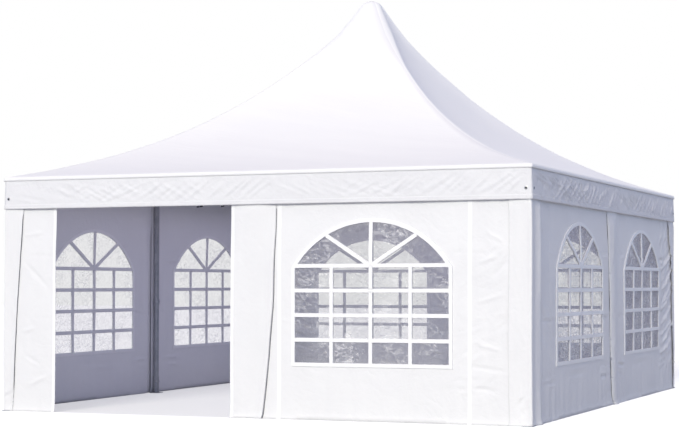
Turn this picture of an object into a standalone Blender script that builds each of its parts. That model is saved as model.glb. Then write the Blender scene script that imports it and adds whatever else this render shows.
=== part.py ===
"""A pagoda marquee, 5 m square: a white coated-fabric roof and walls over a frame of steel tubes.

Metres, +Z up. The origin is on the ground at the centre of the square, and the doorway is in the -Y side.
Run it with: blender --background --python part.py
"""

import math

import bmesh
import bpy
from mathutils import Matrix, Vector

# Overall size
HALF = 2.5
EAVE_Z = 2.09
PEAK_Z = 3.955
VALANCE_DROP = 0.285

# Cloth and the clearance that keeps touching pieces apart
CLOTH = 0.004
FILM = 0.002
GAP = 0.0003

# Facets round a tube, a slim bar or hole, and a wide disc, and the bend above which an edge stays crisp
ROUND_SEGMENTS = 16
SLIM_SEGMENTS = 12
WIDE_SEGMENTS = 24
SMOOTH_ANGLE = math.radians(40)

# Steel frame
TUBE_R = 0.025
POST_LINE = 2.45
PLATE_SIDE = 0.10
PLATE_T = 0.006
PEG_HOLE_R = 0.007
PEG_HOLE_OFFSET = 0.036
COLLAR_R = 0.029
FOOT_COLLAR_TOP_Z = 0.17
JOINT_COLLAR_Z = (0.92, 0.98)
RAFTER_R = 0.019
HUB_R = 0.07
HUB_HEIGHT = 0.12
HUB_Z = 2.80

# Roof: its hips rise as a straight slope, a sweep and a steep last reach under the crown, added together
STRAIGHT_RISE = 0.69
SWEEP_RISE = 1.10
SWEEP_POWER = 2.4
TIP_RISE = 0.233
TIP_POWER = 8.8
ROOF_T = 0.006
CROWN_R = 0.145
CROWN_HALF = CROWN_R / math.sqrt(2)
CROWN_STEPS = 6
ROUND_REACH = 0.2
ROUND_POWER = 4
GORE_ROWS = 12
GORE_COLUMNS = 8
ROW_CROWDING = 1.8

# Walls: each side is two panels that meet at a post in the middle
WINDOW_OFFSET = 1.095
WINDOW_HALF = 0.69
SILL_Z = 0.478
SPRING_Z = 1.264
ARCH_TOP_Z = 1.64
ARCH_POINTS = 14
FILM_LAP = 0.02
OVERLAP_TOP = 0.20
OVERLAP_FOOT = 0.07
CORNER_FLAP = 0.20
FRONT_LEFT_FLAP = (-2.40, -2.302)
WALL_FOOT_Z = PLATE_T + GAP
WALL_TOP_Z = EAVE_Z - 0.005

# Doorway, its two side panels and the rolled-up door over it
DOOR_LEFT = -1.953
DOOR_RIGHT = -0.203
DOOR_TOP_Z = 1.86
DOOR_PANEL_RIGHT = (0.105, 0.183, 0.220)
DOOR_PANEL_BEND_Z = 0.75
ROLL_R = 0.055
ROLL_END_INSET = 0.012
ROLL_Z = 1.90

# Planes worked out from the sizes above
EAVE_SLOPE = STRAIGHT_RISE / HALF
TUBE_TO_ROOF = (TUBE_R + GAP) * math.sqrt(1 + EAVE_SLOPE**2)
EAVE_TUBE_Z = EAVE_Z + EAVE_SLOPE * (HALF - POST_LINE) - ROOF_T - TUBE_TO_ROOF
WALL_INNER = POST_LINE + COLLAR_R + GAP
LAYER_STEP = CLOTH + GAP
WALL_ENDS = WALL_INNER + 2 * LAYER_STEP
VALANCE_TOP_Z = EAVE_Z - ROOF_T - GAP
VALANCE_FOOT_Z = EAVE_Z - VALANCE_DROP

# Each side's turn about +Z from the front, which faces -Y
SIDES = {"front": 0, "right": 90, "back": 180, "left": 270}


def clear_scene():
    for obj in list(bpy.data.objects):
        bpy.data.objects.remove(obj)


def make_material(name, colour, roughness, metallic=0.0, alpha=1.0):
    material = bpy.data.materials.new(name)
    material.use_nodes = True
    shader = material.node_tree.nodes["Principled BSDF"]
    shader.inputs["Base Color"].default_value = (*colour, 1.0)
    shader.inputs["Roughness"].default_value = roughness
    shader.inputs["Metallic"].default_value = metallic
    shader.inputs["Alpha"].default_value = alpha
    return material


def add_object(name, data, material, matrix=None):
    obj = bpy.data.objects.new(name, data)
    bpy.context.scene.collection.objects.link(obj)
    data.materials.clear()
    data.materials.append(material)
    if matrix is not None:
        obj.matrix_world = matrix
    return obj


def mesh_from_bmesh(name, bm):
    bmesh.ops.recalc_face_normals(bm, faces=bm.faces)
    mesh = bpy.data.meshes.new(name)
    bm.to_mesh(mesh)
    bm.free()
    return mesh


def wall_matrix(side, depth):
    """Stands a flat outline up in a side's wall, with its middle plane this far from the tent's centre."""
    turn = Matrix.Rotation(math.radians(SIDES[side]), 4, "Z")
    return turn @ Matrix.Translation((0, -depth, 0)) @ Matrix.Rotation(math.pi / 2, 4, "X")


def sheet(name, outlines, side, inner_face, thickness, material):
    """A flat sheet in a wall. The first outline is its edge, and any others are holes in it."""
    curve = bpy.data.curves.new(name, "CURVE")
    curve.dimensions = "2D"
    curve.fill_mode = "BOTH"
    curve.extrude = thickness / 2
    for outline in outlines:
        spline = curve.splines.new("POLY")
        spline.points.add(len(outline) - 1)
        spline.use_cyclic_u = True
        for point, (along, height) in zip(spline.points, outline):
            point.co = (along, height, 0, 1)
    return add_object(name, curve, material, wall_matrix(side, inner_face + thickness / 2))


def rectangle(left, right, foot, top):
    return [(left, foot), (right, foot), (right, top), (left, top)]


def window_outline(centre, grow=0.0):
    """A window's edge: straight sides up to the spring line, then an arc of a circle."""
    half = WINDOW_HALF + grow
    rise = ARCH_TOP_Z - SPRING_Z + grow
    radius = (half**2 + rise**2) / (2 * rise)
    centre_z = SPRING_Z + rise - radius
    sweep = math.asin(half / radius)
    points = [(centre - half, SILL_Z - grow), (centre + half, SILL_Z - grow)]
    for step in range(ARCH_POINTS + 1):
        angle = sweep - 2 * sweep * step / ARCH_POINTS
        points.append((centre + radius * math.sin(angle), centre_z + radius * math.cos(angle)))
    return points


def turned(name, profile, segments=ROUND_SEGMENTS):
    """A closed solid turned about Z from (radius, height) points, listed from the bottom up."""
    bm = bmesh.new()
    rings = []
    for radius, height in profile:
        if radius == 0:
            rings.append([bm.verts.new((0, 0, height))])
            continue
        ring = []
        for step in range(segments):
            angle = 2 * math.pi * step / segments
            ring.append(bm.verts.new((radius * math.cos(angle), radius * math.sin(angle), height)))
        rings.append(ring)
    for low, high in zip(rings, rings[1:]):
        for step in range(segments):
            after = (step + 1) % segments
            order = ((low, step), (low, after), (high, after), (high, step))
            corners = [ring[at % len(ring)] for ring, at in order]
            bm.faces.new(list(dict.fromkeys(corners)))
    mesh = mesh_from_bmesh(name, bm)
    mesh.shade_smooth()
    mesh.set_sharp_from_angle(angle=SMOOTH_ANGLE)
    return mesh


def cylinder(name, radius, low, high, segments=ROUND_SEGMENTS):
    return turned(name, [(0, low), (radius, low), (radius, high), (0, high)], segments)


def tube(name, start, end, radius, material, segments=ROUND_SEGMENTS):
    """A round bar from one point to another."""
    start, end = Vector(start), Vector(end)
    mesh = cylinder(name, radius, 0, (end - start).length, segments)
    turn = (end - start).to_track_quat("Z", "Y").to_matrix().to_4x4()
    return add_object(name, mesh, material, Matrix.Translation(start) @ turn)


# Roof cover

def roof_height(share):
    """Height of the roof's hip at this share of the way from the centre to the eave."""
    up = 1 - share
    return EAVE_Z + STRAIGHT_RISE * up + SWEEP_RISE * up**SWEEP_POWER + TIP_RISE * up**TIP_POWER


def close_rim(bm, outer, inner):
    for step in range(len(outer) - 1):
        bm.faces.new((outer[step], outer[step + 1], inner[step + 1], inner[step]))


def gore_mesh():
    """The front quarter of the roof, between two hips: square at the eave and round at the crown."""
    bm = bmesh.new()
    top_share = CROWN_HALF / HALF
    layers = []
    for lowered in (0.0, ROOF_T):
        rows = []
        for row in range(GORE_ROWS + 1):
            share = top_share + (1 - top_share) * (1 - row / GORE_ROWS) ** ROW_CROWDING
            half = HALF * share
            roundness = max(0.0, 1 - (share - top_share) / ROUND_REACH)
            bulge = (math.sqrt(2) - 1) * roundness**ROUND_POWER
            cells = []
            for column in range(GORE_COLUMNS + 1):
                across = 2 * column / GORE_COLUMNS - 1
                x = across * (half - GAP)
                y = -half * (1 + bulge * (1 - across**2))
                cells.append(bm.verts.new((x, y, roof_height(share) - lowered)))
            rows.append(cells)
        layers.append(rows)
    for row in range(GORE_ROWS):
        for column in range(GORE_COLUMNS):
            for cells in layers:
                low, high = cells[row], cells[row + 1]
                bm.faces.new((low[column], low[column + 1], high[column + 1], high[column]))
    outer, inner = layers
    for column in (0, GORE_COLUMNS):
        rims = [[cells[column] for cells in layer] for layer in layers]
        close_rim(bm, *rims)
    for row in (0, GORE_ROWS):
        close_rim(bm, outer[row], inner[row])
    mesh = mesh_from_bmesh("roof_gore", bm)
    mesh.shade_smooth()
    mesh.set_sharp_from_angle(angle=SMOOTH_ANGLE)
    return mesh


def build_roof(cloth):
    mesh = gore_mesh()
    for side, turn in SIDES.items():
        add_object(f"roof_gore_{side}", mesh, cloth, Matrix.Rotation(math.radians(turn), 4, "Z"))
    base_z = roof_height(CROWN_HALF / HALF) + GAP
    profile = [(0, base_z)]
    for step in range(CROWN_STEPS + 1):
        reach = 1 - step / CROWN_STEPS
        profile.append((CROWN_R * reach, base_z + (PEAK_Z - base_z) * (1 - reach**2)))
    add_object("roof_crown", turned("roof_crown", profile, WIDE_SEGMENTS), cloth)


def build_valances(cloth):
    for side in SIDES:
        reach = HALF if side in ("front", "back") else HALF - CLOTH - GAP
        outline = rectangle(-reach, reach, VALANCE_FOOT_Z, VALANCE_TOP_Z)
        sheet(f"valance_{side}", [outline], side, HALF - CLOTH, CLOTH, cloth)


# Steel frame

def post_mesh():
    """A post with its two joint collars, welded to a square foot plate that has two peg holes."""
    top = EAVE_TUBE_Z - TUBE_R - GAP
    foot = PLATE_T / 2
    joint_low, joint_top = JOINT_COLLAR_Z
    profile = [(0, foot), (COLLAR_R, foot), (COLLAR_R, FOOT_COLLAR_TOP_Z), (TUBE_R, FOOT_COLLAR_TOP_Z)]
    profile += [(TUBE_R, joint_low), (COLLAR_R, joint_low), (COLLAR_R, joint_top), (TUBE_R, joint_top)]
    profile += [(TUBE_R, top), (0, top)]
    post = bpy.data.objects.new("post_blank", turned("post_blank", profile))

    bm = bmesh.new()
    bmesh.ops.create_cube(bm, size=1.0)
    bmesh.ops.scale(bm, vec=(PLATE_SIDE, PLATE_SIDE, PLATE_T), verts=bm.verts)
    bmesh.ops.translate(bm, vec=(0, 0, PLATE_T / 2), verts=bm.verts)
    plate = bpy.data.objects.new("plate_blank", mesh_from_bmesh("plate_blank", bm))

    helpers = [post, plate]
    cutters = []
    for sign in (-1, 1):
        hole = cylinder("peg_hole", PEG_HOLE_R, -PLATE_T, 2 * PLATE_T, SLIM_SEGMENTS)
        cutter = bpy.data.objects.new("peg_hole", hole)
        cutter.location = (sign * PEG_HOLE_OFFSET, sign * PEG_HOLE_OFFSET, 0)
        cutters.append(cutter)
    for helper in helpers + cutters:
        bpy.context.scene.collection.objects.link(helper)
    for operation, other in [("UNION", post)] + [("DIFFERENCE", cutter) for cutter in cutters]:
        boolean = plate.modifiers.new(operation.lower(), "BOOLEAN")
        boolean.operation = operation
        boolean.object = other
    bpy.context.view_layer.update()
    graph = bpy.context.evaluated_depsgraph_get()
    mesh = bpy.data.meshes.new_from_object(plate.evaluated_get(graph))
    for helper in helpers + cutters:
        bpy.data.objects.remove(helper)
    return mesh


def build_posts(steel):
    mesh = post_mesh()
    places = {
        "front_left": (-1, -1),
        "front_middle": (0, -1),
        "front_right": (1, -1),
        "right_middle": (1, 0),
        "back_right": (1, 1),
        "back_middle": (0, 1),
        "back_left": (-1, 1),
        "left_middle": (-1, 0),
    }
    for place, (x, y) in places.items():
        add_object(f"post_{place}", mesh, steel, Matrix.Translation((x * POST_LINE, y * POST_LINE, 0)))


def build_eave_tubes(steel):
    for side, turn in SIDES.items():
        reach = POST_LINE if side in ("front", "back") else POST_LINE - TUBE_R - GAP
        spin = Matrix.Rotation(math.radians(turn), 4, "Z")
        ends = [spin @ Vector((sign * reach, -POST_LINE, EAVE_TUBE_Z)) for sign in (-1, 1)]
        tube(f"eave_tube_{side}", ends[0], ends[1], TUBE_R, steel)


def build_peak_frame(steel):
    """Four hip rafters that meet at a hub, and the king pole that stands on it and lifts the crown."""
    low_reach = (POST_LINE - TUBE_R - GAP) * math.sqrt(2) - RAFTER_R
    tilt = math.atan2(HUB_Z - EAVE_TUBE_Z, low_reach - HUB_R)
    high_reach = HUB_R + GAP + RAFTER_R * math.sin(tilt)
    for index, corner in enumerate(("front_left", "front_right", "back_right", "back_left")):
        spin = Matrix.Rotation(math.radians(90 * index - 135), 4, "Z")
        start = spin @ Vector((low_reach, 0, EAVE_TUBE_Z))
        end = spin @ Vector((high_reach, 0, HUB_Z))
        tube(f"hip_rafter_{corner}", start, end, RAFTER_R, steel, SLIM_SEGMENTS)
    hub_low, hub_top = HUB_Z - HUB_HEIGHT / 2, HUB_Z + HUB_HEIGHT / 2
    add_object("rafter_hub", cylinder("rafter_hub", HUB_R, hub_low, hub_top, WIDE_SEGMENTS), steel)
    crown_base = roof_height(CROWN_HALF / HALF) + GAP
    tube("king_pole", (0, 0, hub_top + GAP), (0, 0, crown_base - GAP), TUBE_R, steel)


# Walls

def build_window_panels(cloth, film):
    """Two panels to a side. The right one lies over the left one at the middle, with a slanting free edge."""
    for side in SIDES:
        ends = WALL_ENDS if side in ("front", "back") else WALL_INNER - GAP
        for half in ("left", "right"):
            if (side, half) == ("front", "left"):
                continue
            centre = -WINDOW_OFFSET if half == "left" else WINDOW_OFFSET
            laps_over = half == "right" and side != "front"
            edge = rectangle(-ends, 0, WALL_FOOT_Z, WALL_TOP_Z)
            if half == "right":
                edge = rectangle(0, ends, WALL_FOOT_Z, WALL_TOP_Z)
            if laps_over:
                edge[0] = (-OVERLAP_FOOT, WALL_FOOT_Z)
                edge[3] = (-OVERLAP_TOP, WALL_TOP_Z)
            inner = WALL_INNER + (LAYER_STEP if laps_over else 0)
            name = f"{side}_{half}"
            sheet(f"wall_{name}", [edge, window_outline(centre)], side, inner, CLOTH, cloth)
            film_inner = inner - GAP - FILM
            sheet(f"window_film_{name}", [window_outline(centre, FILM_LAP)], side, film_inner, FILM, film)


def build_corner_flaps(cloth):
    """The ends of the side walls, folded round the corner posts on to the front and the back."""
    for side in ("front", "back"):
        for half, sign in (("left", -1), ("right", 1)):
            over_later_panel = side == "back" and half == "right"
            inner = WALL_INNER + (2 if over_later_panel else 1) * LAYER_STEP
            near, far = sorted((sign * (WALL_ENDS - CORNER_FLAP), sign * WALL_ENDS))
            edge = rectangle(near, far, WALL_FOOT_Z, WALL_TOP_Z)
            if (side, half) == ("front", "left"):
                foot, top = FRONT_LEFT_FLAP
                edge[1] = (foot, WALL_FOOT_Z)
                edge[2] = (top, WALL_TOP_Z)
            sheet(f"corner_flap_{side}_{half}", [edge], side, inner, CLOTH, cloth)


def build_door(cloth):
    """The doorway's two side panels, the band over it, and the door rolled up behind that band."""
    left = rectangle(-WALL_ENDS, DOOR_LEFT, WALL_FOOT_Z, WALL_TOP_Z)
    sheet("door_panel_left", [left], "front", WALL_INNER, CLOTH, cloth)
    inner = WALL_INNER + LAYER_STEP
    foot_right, bend_right, top_right = DOOR_PANEL_RIGHT
    right = [(DOOR_RIGHT, WALL_FOOT_Z), (foot_right, WALL_FOOT_Z), (bend_right, DOOR_PANEL_BEND_Z)]
    right += [(top_right, VALANCE_FOOT_Z), (top_right, WALL_TOP_Z), (DOOR_RIGHT, WALL_TOP_Z)]
    sheet("door_panel_right", [right], "front", inner, CLOTH, cloth)
    band = rectangle(DOOR_LEFT + GAP, DOOR_RIGHT - GAP, DOOR_TOP_Z, WALL_TOP_Z)
    sheet("door_top_band", [band], "front", inner, CLOTH, cloth)
    roll_y = -(inner - GAP - ROLL_R)
    ends = [(DOOR_LEFT + ROLL_END_INSET, roll_y, ROLL_Z), (DOOR_RIGHT - ROLL_END_INSET, roll_y, ROLL_Z)]
    tube("door_roll", ends[0], ends[1], ROLL_R, cloth)


def main():
    clear_scene()
    cloth = make_material("coated_cloth", (0.86, 0.86, 0.88), 0.45)
    film = make_material("clear_film", (0.86, 0.88, 0.9), 0.08, alpha=0.3)
    steel = make_material("galvanised_steel", (0.42, 0.43, 0.46), 0.38, metallic=0.9)
    build_roof(cloth)
    build_valances(cloth)
    build_posts(steel)
    build_eave_tubes(steel)
    build_peak_frame(steel)
    build_window_panels(cloth, film)
    build_corner_flaps(cloth)
    build_door(cloth)


main()
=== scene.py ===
"""The looks of a pagoda marquee: its cloth, clear windows, welds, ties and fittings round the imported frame.

Metres, +Z up, in the frame's own axes: the doorway faces -Y and the origin is on the ground at the centre.
On each side u runs to the right for someone who faces that side from outside, and depth is the distance
out from the tent's centre.
"""

import functools
import math
import random

import bpy
import numpy as np
from mathutils import Matrix, Vector, geometry


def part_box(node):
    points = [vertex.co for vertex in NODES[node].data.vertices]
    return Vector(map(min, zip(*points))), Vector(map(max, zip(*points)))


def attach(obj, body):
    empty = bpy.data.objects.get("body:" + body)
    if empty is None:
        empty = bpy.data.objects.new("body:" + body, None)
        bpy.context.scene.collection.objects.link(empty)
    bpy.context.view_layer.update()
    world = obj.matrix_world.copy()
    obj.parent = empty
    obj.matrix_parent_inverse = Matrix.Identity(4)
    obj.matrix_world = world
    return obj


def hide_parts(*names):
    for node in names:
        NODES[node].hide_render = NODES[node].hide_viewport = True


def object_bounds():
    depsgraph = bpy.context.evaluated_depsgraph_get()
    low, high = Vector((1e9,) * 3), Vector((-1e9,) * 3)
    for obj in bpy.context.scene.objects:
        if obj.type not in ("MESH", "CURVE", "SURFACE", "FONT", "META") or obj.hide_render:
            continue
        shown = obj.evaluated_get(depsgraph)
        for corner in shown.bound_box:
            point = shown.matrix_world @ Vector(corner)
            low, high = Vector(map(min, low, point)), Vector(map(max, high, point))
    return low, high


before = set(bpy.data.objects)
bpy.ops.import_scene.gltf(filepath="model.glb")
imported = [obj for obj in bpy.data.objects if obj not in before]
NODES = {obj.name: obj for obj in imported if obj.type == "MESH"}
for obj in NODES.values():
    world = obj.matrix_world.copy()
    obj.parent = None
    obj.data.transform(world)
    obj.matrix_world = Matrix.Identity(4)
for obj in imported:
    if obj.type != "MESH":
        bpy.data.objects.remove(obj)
CAD_LOW, CAD_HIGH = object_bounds()

# Sizes that the frame gives
ROOF_T = 0.006
HALF = CAD_HIGH.x
PEAK_Z = CAD_HIGH.z
EAVE_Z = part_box("roof_gore_front")[0].z + ROOF_T
CROWN_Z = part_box("roof_crown")[0].z
CROWN_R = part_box("roof_crown")[1].x
VALANCE_FOOT_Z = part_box("valance_front")[0].z
WALL_DEPTH = -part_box("wall_front_right")[0].y
WALL_FOOT_Z, WALL_TOP_Z = 0.0015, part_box("wall_front_right")[1].z
POST_LINE = (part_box("post_front_right")[0].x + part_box("post_front_right")[1].x) / 2
FILM_LOW, FILM_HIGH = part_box("window_film_front_right")
DOOR_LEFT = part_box("door_panel_left")[1].x
DOOR_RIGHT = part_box("door_panel_right")[0].x
ROLL_LOW, ROLL_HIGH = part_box("door_roll")

# Thickness of cloth and film, and how far apart the points of walls, films and strips are
CLOTH_T = 0.0012
FILM_T = 0.0006
WALL_STEP = 0.0155
FILM_STEP = 0.03
STRIP_STEP = 0.03

# Windows, as clear openings between welded strips
WINDOW_OFFSET = (FILM_LOW.x + FILM_HIGH.x) / 2
FILM_LAP = 0.02
WINDOW_HALF = (FILM_HIGH.x - FILM_LOW.x) / 2 - FILM_LAP
SILL_Z = FILM_LOW.z + FILM_LAP
ARCH_TOP_Z = FILM_HIGH.z - FILM_LAP
SPRING_Z = 1.264
ARCH_STEPS = 40
BAR_WIDTH = 0.034
BAR_LIFT = 0.0095
SPRING_BAR_Z = 1.283
BAR_ROWS = (0.667, 0.872, 1.077)
BAR_COLUMNS = (-0.353, 0.0, 0.353)
SPOKE_ANGLE = math.radians(32)
BORDER_WIDTH = 0.033

TURNS = {"front": 0, "right": 90, "back": 180, "left": 270}
NEXT_SIDE = {"front": "right", "right": "back", "back": "left", "left": "front"}

# Each side takes its own part of the cloth's pattern
UV_SHIFT = {side: (turn / 17, 0) for side, turn in TURNS.items()}


# Placing things

def to_world(side, u, depth, z):
    """World points for places on a side of the tent."""
    turn = math.radians(TURNS[side])
    x = math.cos(turn) * u + math.sin(turn) * depth
    y = math.sin(turn) * u - math.cos(turn) * depth
    return np.stack([x, y, z + 0 * x], axis=-1)


def world_spot(side, u, z, surface):
    """The world point of one place on a surface."""
    u, z = np.array([u]), np.array([z])
    return to_world(side, u, surface(side, u, z), z)[0]


def bell(value, middle, width):
    return np.exp(-(((value - middle) / width) ** 2))


def ease(value, start, end):
    """Runs smoothly from 0 at start to 1 at end."""
    share = np.clip((value - start) / (end - start), 0, 1)
    return share * share * (3 - 2 * share)


def run_along(points):
    """How far each point lies along the line through them all."""
    return np.append(0, np.cumsum(np.linalg.norm(np.diff(points, axis=0), axis=1)))


def ripples(u, z, seed, count, lengths, angles, height):
    """Sine waves whose crests run at these angles to the horizontal, in degrees."""
    draw = random.Random(seed)
    total = np.zeros_like(u)
    for _ in range(count):
        length = draw.uniform(*lengths)
        angle = math.radians(draw.uniform(*angles))
        across = (z * math.cos(angle) - u * math.sin(angle)) / length
        total += np.sin(math.tau * (across + draw.random()))
    return total * height / math.sqrt(count)


def creased(u, z, creases):
    """Ridges and grooves in cloth, each a start, an end, a height and a width. They fade at their ends."""
    total = np.zeros_like(u)
    for u0, z0, u1, z1, height, width in creases:
        du, dz = u1 - u0, z1 - z0
        along = np.clip(((u - u0) * du + (z - z0) * dz) / (du * du + dz * dz), 0, 1)
        gap = (u - u0 - along * du) ** 2 + (z - z0 - along * dz) ** 2
        near = gap < (3 * width) ** 2
        fade = np.sin(math.pi * along[near]) ** 0.6
        total[near] += height * fade * np.exp(-gap[near] / width**2)
    return total


def scattered(seed, count, box, angles, lengths, heights, width):
    """Random creases inside a box of (u from, u to, z from, z to)."""
    draw = random.Random(seed)
    found = []
    for _ in range(count):
        u, z = draw.uniform(*box[:2]), draw.uniform(*box[2:])
        angle, length = math.radians(draw.uniform(*angles)), draw.uniform(*lengths)
        du, dz = math.cos(angle) * length / 2, math.sin(angle) * length / 2
        height = draw.uniform(*heights) * draw.choice((-1, 1, 1))
        found.append((u - du, z - dz, u + du, z + dz, height, width * draw.uniform(0.8, 1.4)))
    return found


# Materials

class Nodes:
    """The nodes of a material or a world. A value given to one is a number, a colour or another's output."""

    def __init__(self, owner):
        owner.use_nodes = True
        self.owner = owner
        self.tree = owner.node_tree
        self.shader = self.tree.nodes.get("Principled BSDF")

    def fill(self, node, inputs):
        for key, value in inputs.items():
            if isinstance(value, bpy.types.NodeSocket):
                self.tree.links.new(value, node.inputs[key])
            else:
                node.inputs[key].default_value = value

    def add(self, kind, inputs=None, output=0, **settings):
        """An output of a new node."""
        node = self.tree.nodes.new("ShaderNode" + kind)
        for key, value in settings.items():
            setattr(node, key, value)
        self.fill(node, inputs or {})
        return node.outputs[output]

    def finish(self, surface):
        self.fill(self.tree.nodes["Material Output"], {"Surface": surface})

    def place(self, kind):
        return self.add("TexCoord", output=kind)

    def plan(self):
        """A place's X and its Y."""
        apart = self.add("SeparateXYZ", {0: self.place("Object")}).node
        return apart.outputs["X"], apart.outputs["Y"]

    def calculate(self, operation, first, second=0.0):
        return self.add("Math", {0: first, 1: second}, operation=operation)

    plus = functools.partialmethod(calculate, "ADD")
    minus = functools.partialmethod(calculate, "SUBTRACT")
    times = functools.partialmethod(calculate, "MULTIPLY")
    greater = functools.partialmethod(calculate, "MAXIMUM")
    size = functools.partialmethod(calculate, "ABSOLUTE")

    def ranged(self, value, low, high, to_low=0.0, to_high=1.0):
        """A number brought from one range to another, and held inside it."""
        limits = {"From Min": low, "From Max": high, "To Min": to_low, "To Max": to_high}
        return self.add("MapRange", {"Value": value, **limits}, "Result")

    def blended(self, share, first, second):
        """A colour part of the way from the first to the second."""
        if isinstance(first, tuple):
            first = (*first, 1)
        return self.add("Mix", {"Factor": share, "A": first, "B": (*second, 1)}, "Result", data_type="RGBA")

    def noise(self, place, scale, detail, distortion=0.0, roughness=0.5):
        looks = {"Scale": scale, "Detail": detail, "Distortion": distortion, "Roughness": roughness}
        return self.add("TexNoise", {"Vector": place, **looks}, "Fac")

    def ridges(self, place, scale, detail, distortion):
        """Noise folded over at its middle, so that it has sharp valleys like the creases in a sheet."""
        return self.size(self.minus(self.noise(place, scale, detail, distortion), 0.5))

    def bump(self, height, strength, distance, **others):
        inputs = {"Height": height, "Strength": strength, "Distance": distance, **others}
        return self.add("Bump", inputs, "Normal")


WEAVE_PITCH = 0.0016
WAVE_SCALE = 0.314 / WEAVE_PITCH

# A look changes within these limits of the lines from corner to corner of the plan
DIAGONAL = (-0.005, 0.005)


def cloth_material(name, clean, worn, through, crinkle, roughness=0.46, across=None):
    """Coated cloth: a fine weave under a satin skin, with fine crinkles, that lets some light through.

    Where across is given it is a lighter colour for the parts that lie to the left and right of the tent's middle:
    painted light on the roof's side gores.
    """
    nodes = Nodes(bpy.data.materials.new(name))
    place = nodes.place("UV")
    share = nodes.plus(nodes.noise(place, 2.3, 4.0), nodes.times(nodes.noise(place, 60.0, 3.0), 0.3))
    colour = nodes.blended(nodes.ranged(share, 0.45, 0.95), clean, worn)
    # Painted light: the side gores take the lighter colour across
    if across:
        sideways = nodes.minus(*(nodes.size(axis) for axis in nodes.plan()))
        colour = nodes.blended(nodes.ranged(sideways, *DIAGONAL), colour, across)
    large = nodes.times(nodes.ridges(place, 4.0, 3.0, 0.9), 2.0)
    broad = nodes.bump(nodes.plus(large, nodes.ridges(place, 13.0, 4.0, 0.6)), 1.0, crinkle)
    waves = {"Vector": place, "Scale": WAVE_SCALE}
    threads = [nodes.add("TexWave", waves, "Fac", bands_direction=direction) for direction in "XY"]
    normal = nodes.bump(nodes.times(*threads), 0.5, 0.00012, Normal=broad)
    nodes.fill(nodes.shader, {
        "Base Color": colour,
        "Roughness": nodes.ranged(share, 0.4, 0.9, roughness - 0.05, roughness + 0.1),
        "Specular IOR Level": 0.35,
        "Normal": normal,
    })
    glow = nodes.add("BsdfTranslucent", {"Color": colour, "Normal": normal})
    nodes.finish(nodes.add("MixShader", {0: through, 1: nodes.shader.outputs[0], 2: glow}))
    return nodes.owner


def film_material():
    """Clear window film: glossy and faintly grey, with crumples and a few sharp creases, and white streaks along them
    that are painted reflections, denser and stronger on the shaded side to the right of the doorway.
    """
    nodes = Nodes(bpy.data.materials.new("clear_window_film"))
    place = nodes.place("UV")
    slanted = nodes.add("Mapping", {"Vector": place, "Rotation": (0, 0, 0.6), "Scale": (1, 2.2, 1)})
    crumples = nodes.noise(slanted, 8.0, 3.0, 1.8, 0.6)
    zones = nodes.noise(place, 2.6, 2.0)
    # Painted reflection: white streaks where the crumples would catch the light
    soft = nodes.times(nodes.ranged(crumples, 0.5, 0.62), nodes.ranged(zones, 0.42, 0.6, 0.15))
    sharp = nodes.ranged(nodes.ridges(place, 5.0, 3.0, 2.6), 0.0, 0.03, 1.0, 0.0)
    painted_gleam = nodes.greater(soft, nodes.times(sharp, nodes.ranged(zones, 0.36, 0.5)))
    x, y = nodes.plan()
    rightward = nodes.minus(x, nodes.size(y))
    # Painted reflection: a denser net of white glints on the shaded side to the right of the doorway
    net = nodes.ranged(nodes.ridges(place, 12.0, 2.0, 1.8), 0.0, 0.07, 1.0, 0.0)
    crinkled = nodes.times(nodes.ranged(rightward, *DIAGONAL, 0.4), nodes.ranged(zones, 0.3, 0.5, 0.5))
    painted_gleam = nodes.greater(painted_gleam, nodes.times(net, crinkled))
    # The painted reflection covers more on the right-hand side
    cover = nodes.times(painted_gleam, nodes.ranged(rightward, *DIAGONAL, 0.17, 0.5))
    nodes.fill(nodes.shader, {
        "Base Color": nodes.blended(painted_gleam, (0.38, 0.39, 0.41), (0.98, 0.98, 0.97)),
        "Alpha": nodes.plus(cover, 0.12),
        "Roughness": 0.12,
        "IOR": 1.5,
        "Normal": nodes.bump(crumples, 1.0, 0.02),
    })
    return nodes.owner


def steel_material():
    """Galvanised tube: grey zinc with a faint spangle and clouded sheen."""
    nodes = Nodes(bpy.data.materials.new("galvanised_tube"))
    place = nodes.place("Object")
    spangle = nodes.add("TexVoronoi", {"Vector": place, "Scale": 130.0}, "Distance")
    cloud = nodes.noise(place, 14.0, 5.0)
    share = nodes.ranged(nodes.plus(nodes.times(spangle, 0.4), cloud), 0.35, 0.95)
    nodes.fill(nodes.shader, {
        "Base Color": nodes.blended(share, (0.33, 0.34, 0.37), (0.52, 0.53, 0.56)),
        "Roughness": nodes.ranged(share, 0.0, 1.0, 0.32, 0.5),
        "Metallic": 0.85,
        "Normal": nodes.bump(cloud, 0.3, 0.0006),
    })
    return nodes.owner


def plain_material(name, dark, light, roughness, metallic=0.0):
    """Small fittings: moulded or pressed, with a faint mottle."""
    nodes = Nodes(bpy.data.materials.new(name))
    mottle = nodes.noise(nodes.place("Object"), 90.0, 4.0)
    nodes.fill(nodes.shader, {
        "Base Color": nodes.blended(mottle, dark, light),
        "Roughness": roughness,
        "Metallic": metallic,
        "Normal": nodes.bump(mottle, 0.3, 0.0003),
    })
    return nodes.owner


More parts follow.
